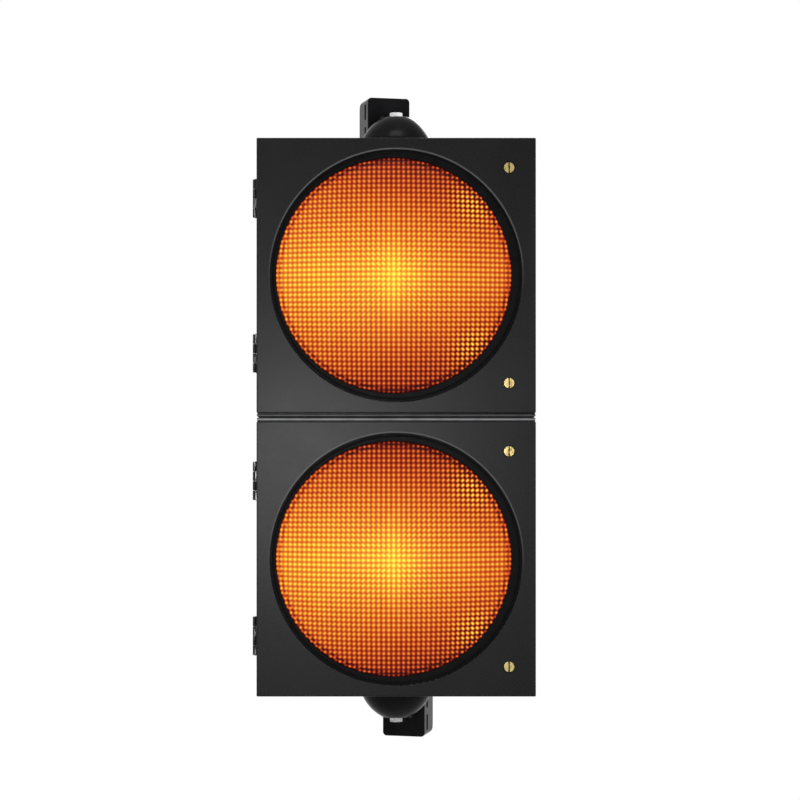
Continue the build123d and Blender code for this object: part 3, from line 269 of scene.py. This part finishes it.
def hinge_metal():
    """Blackened steel, rubbed bright in places."""
    finish = Finish("blackened_steel", (0.06, 0.06, 0.06), 0.36, 1.0)
    rub = finish.spread(finish.noise(420.0, 3.0, 0.6, (1.0, 1.0, 0.12)), 0.54, 0.74, 0.0, 1.0)
    finish.into(Base_Color=finish.blend(rub, (0.012, 0.012, 0.013), (0.24, 0.235, 0.22)))
    finish.into(Roughness=finish.spread(rub, 0.0, 1.0, 0.42, 0.24))
    finish.bump(finish.noise(900.0, 2.0), 0.00006, 0.5)
    return finish.material


def zinc():
    """Bright zinc plating with a faint mottle."""
    finish = Finish("zinc_plate", (0.62, 0.63, 0.64), 0.3, 1.0)
    mottle = finish.noise(420.0, 3.0)
    finish.into(Base_Color=finish.blend(finish.spread(mottle, 0.35, 0.7, 0.0, 1.0),
                                        (0.24, 0.245, 0.25), (0.46, 0.46, 0.45)))
    finish.into(Roughness=finish.spread(mottle, 0.3, 0.7, 0.22, 0.4))
    finish.bump(finish.noise(1400.0, 2.0), 0.00003, 0.5)
    return finish.material


def brass():
    """Turned brass, a little tarnished, with painted shade on the sides of the head where it is sunk
    into the door.
    """
    finish = Finish("turned_brass", (0.30, 0.24, 0.10), 0.34, 1.0)
    tarnish = finish.spread(finish.noise(260.0, 4.0, 0.6), 0.4, 0.7, 0.0, 1.0)
    tone = finish.blend(tarnish, (0.36, 0.29, 0.12), (0.13, 0.095, 0.035))
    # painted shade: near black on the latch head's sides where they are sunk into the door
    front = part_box("upper_latch_outer")[0].y
    depth = finish.math("SUBTRACT", finish.axes()[1], front)
    below = finish.spread(depth, LATCH_SLOT_TOP, LATCH_SLOT_TOP + LATCH_FADE, 0.0, 1.0)
    above = finish.spread(depth, LATCH_HEAD, LATCH_HEAD + LATCH_FADE, 1.0, 0.0)
    recess_painted_shade = finish.math("MULTIPLY", below, above)
    finish.into(Base_Color=finish.blend(recess_painted_shade, tone, (0.015, 0.011, 0.005)))
    finish.into(Roughness=finish.spread(tarnish, 0.0, 1.0, 0.26, 0.5))
    finish.bump(finish.noise(1500.0, 2.0, 0.5, (1.0, 1.0, 0.25)), 0.00004, 0.5)
    return finish.material


def rubber_black():
    """Moulded rubber with a bloom."""
    finish = Finish("moulded_rubber", (0.003, 0.003, 0.0035), 0.36)
    bloom = finish.noise(55.0, 4.0)
    finish.into(Base_Color=finish.blend(finish.spread(bloom, 0.4, 0.75, 0.0, 0.6),
                                        (0.0025, 0.0023, 0.0028), (0.0065, 0.006, 0.0068)))
    finish.into(Roughness=finish.spread(bloom, 0.3, 0.7, 0.32, 0.44))
    finish.bump(finish.noise(1300.0, 2.0), 0.00004, 0.4)
    finish.into(Specular_IOR_Level=0.03)
    return finish.material


def moulded(name, colour, roughness, grain=900.0):
    """A moulded plastic or board with a fine grain and a little unevenness."""
    finish = Finish(name, colour, roughness)
    cloud = finish.noise(40.0, 3.0)
    finish.into(Base_Color=finish.blend(finish.spread(cloud, 0.3, 0.7, 0.0, 1.0),
                                        darker(colour, 0.84), colour))
    finish.into(Roughness=finish.spread(cloud, 0.3, 0.7, roughness - 0.06, roughness + 0.08))
    finish.bump(finish.noise(grain, 2.0), 0.00005, 0.6)
    return finish


def lens_clear():
    """Clear ribbed plastic of the inner lens."""
    finish = moulded("clear_inner_lens", (0.86, 0.88, 0.88), 0.14, 300.0)
    finish.into(Transmission_Weight=0.92, IOR=1.49)
    return finish.material


def led_resin():
    """Amber epoxy of the light sources, lit."""
    finish = moulded("amber_epoxy", linear(255, 170, 60), 0.18, 600.0)
    finish.into(Emission_Color=(*linear(255, 176, 58), 1.0))
    finish.into(Emission_Strength=0.9)
    return finish.material


def lens_glow(finish, across, up, radius):
    """How bright the lit lens is over its face, from deep orange at 0 to yellow at 1."""
    level = finish.math("SUBTRACT", 0.635, finish.math("MULTIPLY", across, 0.11))
    height = finish.math("POWER", finish.math("ABSOLUTE", up), 1.3)
    level = finish.math("SUBTRACT", level, finish.math("MULTIPLY", height, 0.40))
    level = finish.math("ADD", level, finish.math("MULTIPLY", finish.bell(radius, 16.0), 0.15))
    upright = finish.math("MULTIPLY", finish.bell(across, 260.0), finish.bell(up, 7.0))
    streak = finish.math("MULTIPLY", upright, 0.06)
    level = finish.math("SUBTRACT", level, finish.spread(radius, 0.55, 1.0, 0.0, 0.05))
    level = finish.math("SUBTRACT", level, finish.spread(across, -0.6, -1.0, 0.0, 0.07))
    return finish.math("ADD", level, streak)


def glint(finish, across, up):
    """The bright patches near the rim at the upper and lower right."""
    dx = finish.math("SUBTRACT", across, 0.66)
    dz = finish.math("SUBTRACT", finish.math("ABSOLUTE", up), 0.60)
    along = finish.math("SUBTRACT", dx, dz)
    away = finish.math("ADD", dx, dz)
    spot = finish.math("ADD", finish.math("MULTIPLY", finish.math("POWER", along, 2.0), 14.0),
                       finish.math("MULTIPLY", finish.math("POWER", away, 2.0), 26.0))
    return finish.math("EXPONENT", finish.math("MULTIPLY", spot, -1.0))


def lens_amber():
    """Lit amber lens: a bright dot in each prism, drawn out along the radius, and dark corners."""
    finish = Finish("amber_prism_lens", linear(150, 60, 12), 0.3)
    u, v, _ = finish.axes(finish.node("ShaderNodeUVMap", uv_map="prisms").outputs[0])
    width = PRISMS_ACROSS * PRISM / FLAT_RIM
    across = finish.math("MULTIPLY", finish.math("SUBTRACT", u, 0.5), width)
    up = finish.math("MULTIPLY", finish.math("SUBTRACT", v, 0.5), width)
    across2 = finish.math("POWER", across, 2.0)
    up2 = finish.math("POWER", up, 2.0)
    radius2 = finish.math("ADD", finish.math("ADD", across2, up2), 0.0004)
    radius = finish.math("SQRT", radius2)
    turn = 2 * pi * PRISMS_ACROSS
    phase_u, phase_v = finish.math("MULTIPLY", u, turn), finish.math("MULTIPLY", v, turn)
    ridge_u, ridge_v = (finish.math("SUBTRACT", 0.5, finish.math(
        "MULTIPLY", finish.math("COSINE", phase), 0.5)) for phase in (phase_u, phase_v))
    cos2 = finish.math("DIVIDE", finish.math("SUBTRACT", across2, up2), radius2)
    sin2 = finish.math("DIVIDE", finish.math("MULTIPLY", finish.math("MULTIPLY", across, up), 2.0),
                       radius2)
    lean = finish.math("MULTIPLY", cos2, 0.13)
    bars = finish.math("ADD", finish.math("MULTIPLY", ridge_u, finish.math("SUBTRACT", 0.5, lean)),
                       finish.math("MULTIPLY", ridge_v, finish.math("ADD", 0.5, lean)))
    knobs = finish.math("MULTIPLY", ridge_u, ridge_v)
    slant = finish.math("MULTIPLY", finish.math("SINE", phase_u), finish.math("SINE", phase_v))
    dots = finish.math("ADD", finish.math("MULTIPLY", bars, 0.55),
                       finish.math("MULTIPLY", knobs, 0.45))
    dots = finish.math("ADD", dots, finish.math("MULTIPLY", finish.math("MULTIPLY", slant, sin2), 0.14))
    patch = glint(finish, across, up)
    contrast = finish.math("ADD", 0.58, finish.math("MULTIPLY", patch, 0.62))
    level = finish.math("ADD", lens_glow(finish, across, up, radius), finish.math(
        "MULTIPLY", finish.math("SUBTRACT", dots, DOT_MEAN), contrast))
    level = finish.math("ADD", level, finish.math("MULTIPLY", patch, 0.09))
    waver = finish.math("MULTIPLY", finish.math("SUBTRACT", finish.noise(70.0, 3.0), 0.5), 0.10)
    level = finish.math("ADD", level, waver)
    groove = finish.line(radius, 0.965, 0.012)
    level = finish.math("SUBTRACT", level, finish.math("MULTIPLY", groove, 0.2))
    rim = finish.spread(radius, 0.988, 1.004, 0.0, 0.5)
    level = finish.math("SUBTRACT", level, rim, clamp=True)
    colour = finish.ramp(level, [
        (0.0, linear(45, 8, 12)), (0.1, linear(92, 20, 18)), (0.2, linear(146, 40, 20)),
        (0.3, linear(176, 58, 24)), (0.4, linear(206, 86, 31)), (0.5, linear(228, 114, 39)),
        (0.6, linear(241, 141, 46)), (0.7, linear(249, 168, 54)), (0.8, linear(252, 198, 62)),
        (0.9, linear(254, 226, 70)), (1.0, linear(254, 252, 76))])
    finish.into(Emission_Color=colour)
    finish.into(Emission_Strength=0.96)
    finish.into(Base_Color=finish.blend(0.96, colour, (0.02, 0.004, 0.001)))
    finish.into(Specular_IOR_Level=0.03)
    return finish.material


FINISHES = {
    "case_paint": case_paint,
    "bracket_paint": bracket_paint,
    "hinge_metal": hinge_metal,
    "zinc": zinc,
    "brass": brass,
    "rubber_black": rubber_black,
    "lens_amber": lens_amber,
    "lens_clear": lens_clear,
    "led_resin": led_resin,
    "lamp_plastic": lambda: moulded("lamp_housing_plastic", (0.045, 0.046, 0.048), 0.48).material,
    "nylon_black": lambda: moulded("black_nylon", (0.016, 0.016, 0.017), 0.42).material,
    "terminal_plastic": lambda: moulded("terminal_plastic", (0.62, 0.60, 0.54), 0.4).material,
    "led_board_metal": lambda: moulded("white_solder_mask", (0.78, 0.79, 0.78), 0.3).material,
    "driver_board_green": lambda: moulded("green_solder_mask", (0.02, 0.12, 0.05), 0.3).material,
}


def finish_nodes(materials):
    """Gives every node of the frame the finish of its slot."""
    for part in frame["record"]["subparts"]:
        for slot in frame["nodes"][part["node"]].material_slots:
            slot.material = materials[part["material_slot"]]


# ---- lenses ---------------------------------------------------------------------------------
def flat_prisms():
    """A square sheet of prisms, flat at first, with its cell coordinates as a UV map."""
    sheet = bmesh.new()
    sheet.loops.layers.uv.new("prisms")
    steps = PRISMS_ACROSS * PRISM_STEPS
    bmesh.ops.create_grid(sheet, x_segments=steps, y_segments=steps,
                          size=PRISMS_ACROSS * PRISM / 2, calc_uvs=True)
    return sheet


def prism_height(place):
    """How far a point on the sheet stands out of the grooves between the prisms, 0 to 1."""
    height = 1.0
    for distance in place:
        phase = (distance / PRISM + PRISMS_ACROSS / 2) % 1.0
        height *= 1.0 - (2.0 * phase - 1.0) ** 2
    return height


def shape_dome(sheet, cut, ball, apex):
    """Bends the sheet onto the dome and trims it to a circle. It looks towards -Y."""
    for vert in sheet.verts:
        flat = Vector((vert.co.x, vert.co.y))
        stand = prism_height(flat)
        place = flat * (1.0 - PRISM_SQUEEZE * flat.length_squared)
        if place.length > cut:
            place *= cut / place.length
            stand = 0.0
        drop = ball - sqrt(ball * ball - place.length_squared)
        vert.co = Vector((place.x, apex + drop + PRISM_DEPTH * (1.0 - stand), place.y))
    outside = [f for f in sheet.faces
               if all(Vector((v.co.x, v.co.z)).length > cut * 0.99999 for v in f.verts)]
    bmesh.ops.delete(sheet, geom=outside, context="FACES")
    bmesh.ops.remove_doubles(sheet, verts=sheet.verts, dist=0.0001)
    bmesh.ops.dissolve_degenerate(sheet, dist=0.0001, edges=sheet.edges)


def extrude_rim(sheet, edges, radius, y):
    """Carries the open rim on to a circle of this radius at this depth."""
    made = bmesh.ops.extrude_edge_only(sheet, edges=edges)["geom"]
    for vert in (v for v in made if isinstance(v, bmesh.types.BMVert)):
        flat = Vector((vert.co.x, vert.co.z)).normalized() * radius
        vert.co = Vector((flat.x, y, flat.y))
    return [e for e in made if isinstance(e, bmesh.types.BMEdge)]


def prismatic_lens(section, material):
    """The domed lens of one section, with its rim and a hollow back."""
    low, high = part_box(f"{section}_lens")
    middle = (low + high) / 2
    lens_r = (high.x - low.x) / 2
    visible_r = lens_r - LENS_RIM
    front = high.y - LENS_FLANGE
    rise = front - low.y
    ball = (visible_r**2 + rise**2) / (2 * rise)
    sheet = flat_prisms()
    shape_dome(sheet, visible_r + RIM_TUCK, ball, low.y)
    rim = [e for e in sheet.edges if e.is_boundary]
    rim = extrude_rim(sheet, rim, lens_r, front)
    rim = extrude_rim(sheet, rim, lens_r, high.y)
    inner_ball = ball - LENS_WALL
    for ring in range(INNER_DOME_RINGS):
        radius = (visible_r - LENS_WALL) * (1.0 - ring / INNER_DOME_RINGS)
        drop = inner_ball - sqrt(inner_ball**2 - radius**2)
        rim = extrude_rim(sheet, rim, radius, low.y + LENS_WALL + drop)
    bmesh.ops.contextual_create(sheet, geom=rim)
    bmesh.ops.recalc_face_normals(sheet, faces=sheet.faces)
    bmesh.ops.translate(sheet, verts=sheet.verts, vec=(middle.x, 0.0, middle.z))
    mesh = bpy.data.meshes.new(f"{section}_prismatic_lens")
    sheet.to_mesh(mesh)
    sheet.free()
    mesh.materials.append(material)
    mesh.shade_smooth()
    piece = bpy.data.objects.new(mesh.name, mesh)
    bpy.context.scene.collection.objects.link(piece)
    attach(piece, f"{section}_door")
    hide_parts(f"{section}_lens")
    return piece


# ---- stage, lights and camera ---------------------------------------------------------------
def seen_directly(nodes, links):
    """1 for camera, glossy and transmission rays, 0 for the rest."""
    path = nodes.new("ShaderNodeLightPath")
    seen = path.outputs["Is Camera Ray"]
    for ray in ("Is Glossy Ray", "Is Transmission Ray"):
        either = nodes.new("ShaderNodeMath")
        either.operation = "MAXIMUM"
        links.new(seen, either.inputs[0])
        links.new(path.outputs[ray], either.inputs[1])
        seen = either.outputs[0]
    return seen


def floor():
    """A pale round floor that keeps the shadow."""
    disc = bmesh.new()
    bmesh.ops.create_circle(disc, cap_ends=True, segments=96, radius=FLOOR_R)
    bmesh.ops.translate(disc, verts=disc.verts, vec=(0.0, 0.0, cad_box[0][2] - FLOOR_DROP))
    mesh = bpy.data.meshes.new("floor")
    disc.to_mesh(mesh)
    disc.free()
    material = bpy.data.materials.new("pale_floor")
    material.use_nodes = True
    nodes, links = material.node_tree.nodes, material.node_tree.links
    shader = next(n for n in nodes if n.type == "BSDF_PRINCIPLED")
    shader.inputs["Base Color"].default_value = (0.86, 0.86, 0.86, 1.0)
    shader.inputs["Roughness"].default_value = 0.9
    shader.inputs["Emission Color"].default_value = (1.0, 1.0, 1.0, 1.0)
    share = nodes.new("ShaderNodeMath")
    share.operation = "MULTIPLY"
    share.inputs[1].default_value = FLOOR_GLOW
    links.new(seen_directly(nodes, links), share.inputs[0])
    links.new(share.outputs[0], shader.inputs["Emission Strength"])
    mesh.materials.append(material)
    piece = bpy.data.objects.new("floor", mesh)
    bpy.context.scene.collection.objects.link(piece)


def studio_world():
    """White wherever it is seen, and softer as a light."""
    world = bpy.data.worlds.new("studio")
    bpy.context.scene.world = world
    world.use_nodes = True
    nodes, links = world.node_tree.nodes, world.node_tree.links
    background = next(n for n in nodes if n.type == "BACKGROUND")
    background.inputs["Color"].default_value = (1.0, 1.0, 1.0, 1.0)
    strength = nodes.new("ShaderNodeMath")
    strength.operation = "MAXIMUM"
    strength.inputs[1].default_value = AMBIENT
    links.new(seen_directly(nodes, links), strength.inputs[0])
    links.new(strength.outputs[0], background.inputs["Strength"])


def softbox(name, place, target, size, power):
    """A rectangular area light at a place, turned to a target."""
    data = bpy.data.lights.new(name, "AREA")
    data.shape = "RECTANGLE"
    data.size, data.size_y = size
    data.energy = power
    lamp = bpy.data.objects.new(name, data)
    look = (Vector(target) - Vector(place)).to_track_quat("-Z", "Y").to_matrix().to_4x4()
    lamp.matrix_world = Matrix.Translation(place) @ look
    bpy.context.scene.collection.objects.link(lamp)


def lights():
    softbox("front_key", (-0.22, -2.75, -0.10), (0.0, 0.0, 0.0), (0.30, 0.30), 22.0)
    softbox("left_strip", (-1.7, -1.5, 0.9), (0.0, 0.0, 0.1), (0.5, 1.2), 10.0)
    softbox("right_strip", (1.8, -1.2, 0.5), (0.0, 0.0, 0.0), (0.4, 1.2), 6.0)
    softbox("low_front", (0.0, -1.5, -1.35), (0.0, 0.0, 0.1), (1.0, 0.3), 10.0)
    softbox("top", (0.0, -0.9, 1.9), (0.0, 0.0, 0.2), (1.0, 0.4), 16.0)
    softbox("back", (0.6, 2.0, 1.0), (0.0, 0.0, 0.0), (1.2, 1.0), 16.0)


def camera():
    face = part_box("upper_door")[0].y
    data = bpy.data.cameras.new("camera")
    data.sensor_width = SENSOR * 1000
    data.lens = SENSOR * 1000 * CAMERA_BACK / VIEW_WIDTH
    data.shift_x, data.shift_y = VIEW_SHIFT
    eye = bpy.data.objects.new("camera", data)
    eye.matrix_world = (Matrix.Translation((0.0, face - CAMERA_BACK, 0.0))
                        @ Matrix.Rotation(pi / 2, 4, "X"))
    bpy.context.scene.collection.objects.link(eye)
    bpy.context.scene.camera = eye


# ---- the scene ------------------------------------------------------------------------------
def main():
    camera()
    lights()
    studio_world()
    floor()
    materials = {slot: make() for slot, make in FINISHES.items()}
    finish_nodes(materials)
    for section in ("upper", "lower"):
        prismatic_lens(section, materials["lens_amber"])
    bpy.context.scene.view_settings.view_transform = "Standard"


main()
